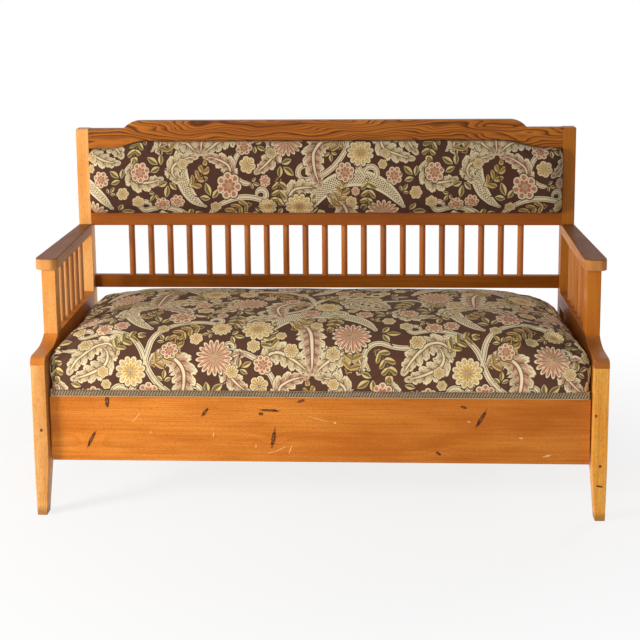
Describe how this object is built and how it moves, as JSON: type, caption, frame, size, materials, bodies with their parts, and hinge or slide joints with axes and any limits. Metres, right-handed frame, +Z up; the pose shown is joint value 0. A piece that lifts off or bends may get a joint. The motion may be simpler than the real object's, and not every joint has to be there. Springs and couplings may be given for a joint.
{
  "type": "pull-out bench bed",
  "caption": "Pine bench with spindled arms and back, upholstered lift-off seat and back panel, over a slatted bed box that pulls out at the front on fold-down legs.",
  "frame": {"origin": "on the floor, midway between the two sides and between the fronts of the front legs and the backs of the rear posts", "axes": "+X along the seat to the sitter's left, +Y from the front to the back, +Z up"},
  "size_m": [1.6704, 0.682, 1.076],
  "materials": {
    "frame_pine": "warm lacquered pine",
    "front_board_pine": "lacquered pine board with knots",
    "turned_pine": "lacquered turned pine, darker",
    "plain_pine": "bare planed pine",
    "upholstery": "woven floral tapestry cotton, matt",
    "gimp": "ribbed braid",
    "bolt_steel": "dull zinc"
  },
  "bodies": {
    "frame": {"arm_post_left": "frame_pine", "arm_post_right": "frame_pine", "arm_rail_left": "frame_pine", "arm_rail_right": "frame_pine", "arm_spindles_left": "turned_pine", "arm_spindles_right": "turned_pine", "armrest_left": "frame_pine", "armrest_right": "frame_pine", "back_cushion": "upholstery", "back_panel": "plain_pine", "back_spindle_01": "turned_pine", "back_spindle_02": "turned_pine", "back_spindle_03": "turned_pine", "back_spindle_04": "turned_pine", "back_spindle_05": "turned_pine", "back_spindle_06": "turned_pine", "back_spindle_07": "turned_pine", "back_spindle_08": "turned_pine", "back_spindle_09": "turned_pine", "back_spindle_10": "turned_pine", "back_spindle_11": "turned_pine", "back_spindle_12": "turned_pine", "back_spindle_13": "turned_pine", "back_spindle_14": "turned_pine", "back_spindle_15": "turned_pine", "back_spindle_16": "turned_pine", "back_spindle_17": "turned_pine", "back_spindle_18": "turned_pine", "back_spindle_19": "turned_pine", "back_spindle_20": "turned_pine", "back_spindle_21": "turned_pine", "box_runners": "plain_pine", "crest_rail": "frame_pine", "fixed_slats": "plain_pine", "front_leg_left": "frame_pine", "front_leg_right": "frame_pine", "front_stretcher": "plain_pine", "lower_back_rail": "frame_pine", "middle_back_rail": "frame_pine", "rear_apron": "frame_pine", "rear_post_left": "frame_pine", "rear_post_right": "frame_pine", "rear_slat_ledger": "plain_pine", "seat_ledges": "plain_pine", "side_panel_left": "frame_pine", "side_panel_right": "frame_pine"},
    "bed_box": {"front_board": "front_board_pine", "box_side_left": "plain_pine", "box_side_right": "plain_pine", "box_tail_rail": "plain_pine", "front_slat_cleat": "plain_pine", "sliding_slats": "plain_pine", "prop_leg_bolts": "bolt_steel"},
    "seat_lid": {"seat_board": "plain_pine", "seat_battens": "plain_pine", "gimp_trim": "gimp", "seat_cushion": "upholstery"},
    "prop_leg_left": {"prop_leg_left": "plain_pine"},
    "prop_leg_right": {"prop_leg_right": "plain_pine"}
  },
  "joints": [
    {"name": "bed_box_slide", "type": "slide", "parent": "frame", "child": "bed_box", "axis": [0, -1, 0], "range_m": [0, 0.45]},
    {"name": "seat_lift", "type": "slide", "parent": "frame", "child": "seat_lid", "axis": [0, 0, 1], "range_m": [0, 0.2]},
    {"name": "prop_leg_left_fold", "type": "hinge", "parent": "bed_box", "child": "prop_leg_left", "pos_m": [-0.7, -0.269, 0.178], "axis": [0, 1, 0], "range_deg": [0, 90]},
    {"name": "prop_leg_right_fold", "type": "hinge", "parent": "bed_box", "child": "prop_leg_right", "pos_m": [0.7, -0.269, 0.178], "axis": [0, -1, 0], "range_deg": [0, 90]}
  ]
}
